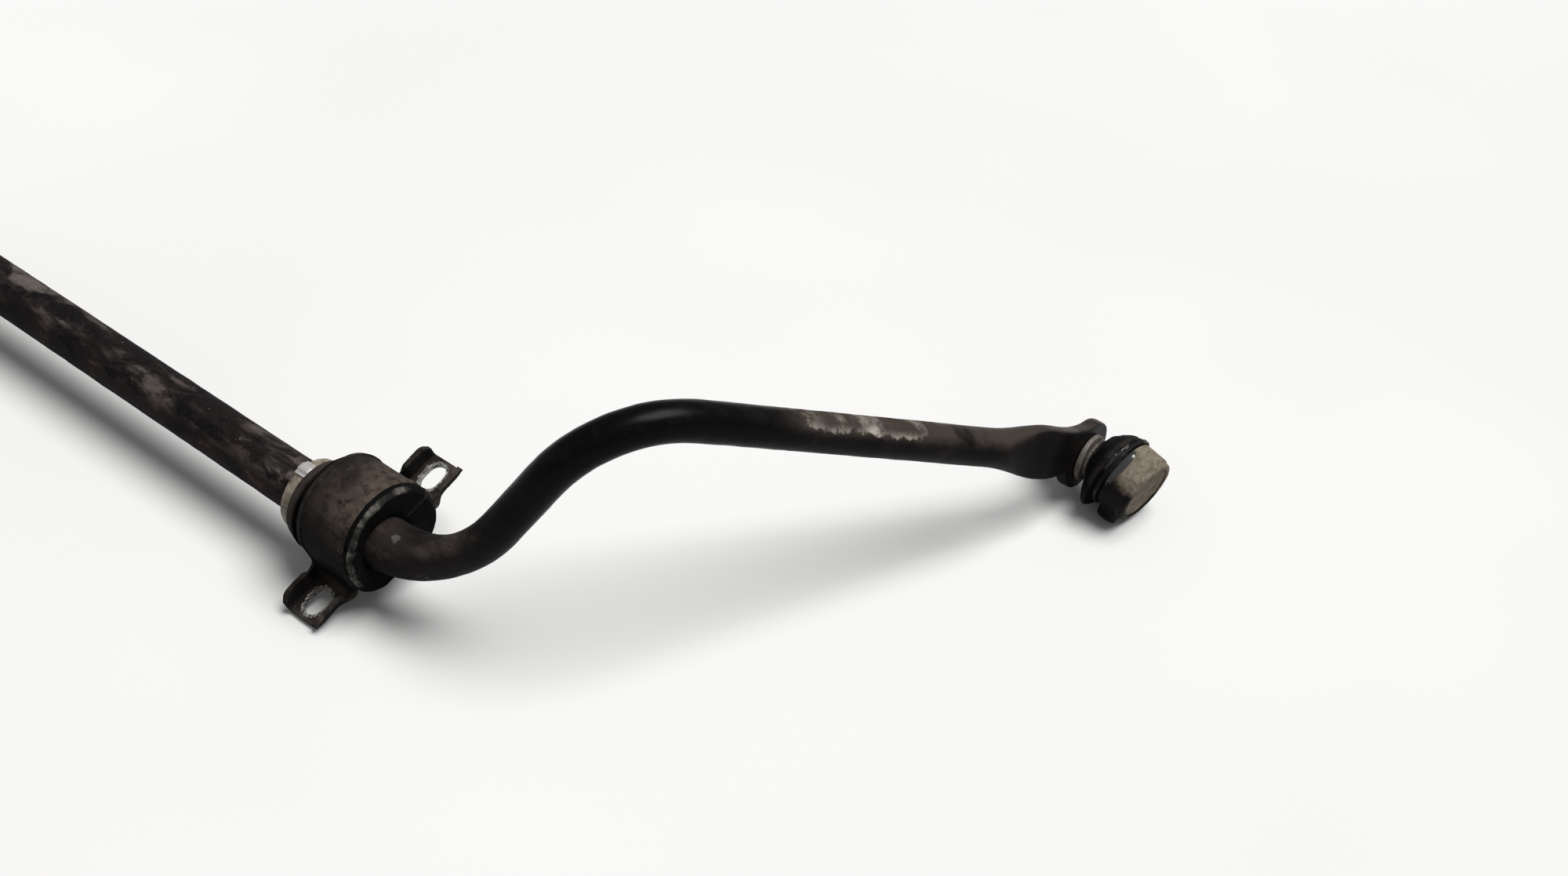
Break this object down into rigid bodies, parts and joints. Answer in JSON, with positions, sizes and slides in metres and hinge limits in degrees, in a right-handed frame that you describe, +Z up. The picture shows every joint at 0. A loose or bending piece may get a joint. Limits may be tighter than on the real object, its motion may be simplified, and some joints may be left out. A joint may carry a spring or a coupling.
{
  "type": "vehicle sway bar",
  "caption": "Bent steel anti-roll bar with rubber frame bushings in slotted saddle brackets, stop collars, flattened eyes and booted end-link ball joints.",
  "frame": {"origin": "middle of the underside of the whole assembly as it lies on a bench", "axes": "X along the torsion section, +Y from the torsion section towards the two eyes, +Z up"},
  "size_m": [1.216, 0.3758, 0.1445],
  "materials": {
    "bar_coating": "satin black coating, dusty and rust-specked",
    "bracket_paint": "worn dark paint under brown road dust",
    "bushing_rubber": "matte black rubber with a dusty rim",
    "collar_plastic": "aged pale beige",
    "clip_zinc": "bright zinc",
    "stud_zinc": "dull zinc, dusty",
    "washer_zinc": "dusty zinc",
    "boot_rubber": "black rubber, greasy and dusty",
    "ring_steel": "bright spring steel, greasy",
    "housing_zinc": "zinc plating under beige dust",
    "seat_plastic": "natural acetal"
  },
  "bodies": {
    "bar": {"stabilizer_bar": "bar_coating", "stop_collar_right": "collar_plastic", "collar_clip_right": "clip_zinc", "ball_stud_right": "stud_zinc", "flange_nut_right": "stud_zinc", "stud_washer_right": "washer_zinc", "stop_collar_left": "collar_plastic", "collar_clip_left": "clip_zinc", "ball_stud_left": "stud_zinc", "flange_nut_left": "stud_zinc", "stud_washer_left": "washer_zinc"},
    "right_bracket": {"saddle_bracket_right": "bracket_paint", "rubber_bushing_right": "bushing_rubber"},
    "right_boot_ring": {"boot_ring_right": "ring_steel", "dust_boot_right": "boot_rubber"},
    "right_link_end": {"joint_housing_right": "housing_zinc", "ball_seat_right": "seat_plastic", "end_cap_right": "housing_zinc", "boot_clamp_right": "ring_steel"},
    "left_bracket": {"saddle_bracket_left": "bracket_paint", "rubber_bushing_left": "bushing_rubber"},
    "left_boot_ring": {"boot_ring_left": "ring_steel", "dust_boot_left": "boot_rubber"},
    "left_link_end": {"joint_housing_left": "housing_zinc", "ball_seat_left": "seat_plastic", "end_cap_left": "housing_zinc", "boot_clamp_left": "ring_steel"}
  },
  "joints": [
    {"name": "right_bushing_swivel", "type": "hinge", "parent": "bar", "child": "right_bracket", "pos_m": [0.33, -0.14637, 0.03854], "axis": [1, 0, 0], "range_deg": [-35, 35]},
    {"name": "right_link_turn", "type": "hinge", "parent": "bar", "child": "right_boot_ring", "pos_m": [0.59175, 0.16493, 0.02424], "axis": [1, 0, 0], "continuous": true},
    {"name": "right_link_tilt", "type": "hinge", "parent": "right_boot_ring", "child": "right_link_end", "pos_m": [0.59175, 0.16493, 0.02424], "axis": [0, 0.848, -0.5299], "range_deg": [-33, 7], "deforming": ["dust_boot_right"]},
    {"name": "left_bushing_swivel", "type": "hinge", "parent": "bar", "child": "left_bracket", "pos_m": [-0.33, -0.14637, 0.03854], "axis": [-1, 0, 0], "range_deg": [-35, 35]},
    {"name": "left_link_turn", "type": "hinge", "parent": "bar", "child": "left_boot_ring", "pos_m": [-0.59175, 0.16493, 0.02424], "axis": [-1, 0, 0], "continuous": true},
    {"name": "left_link_tilt", "type": "hinge", "parent": "left_boot_ring", "child": "left_link_end", "pos_m": [-0.59175, 0.16493, 0.02424], "axis": [0, -0.848, 0.5299], "range_deg": [-33, 7], "deforming": ["dust_boot_left"]}
  ]
}
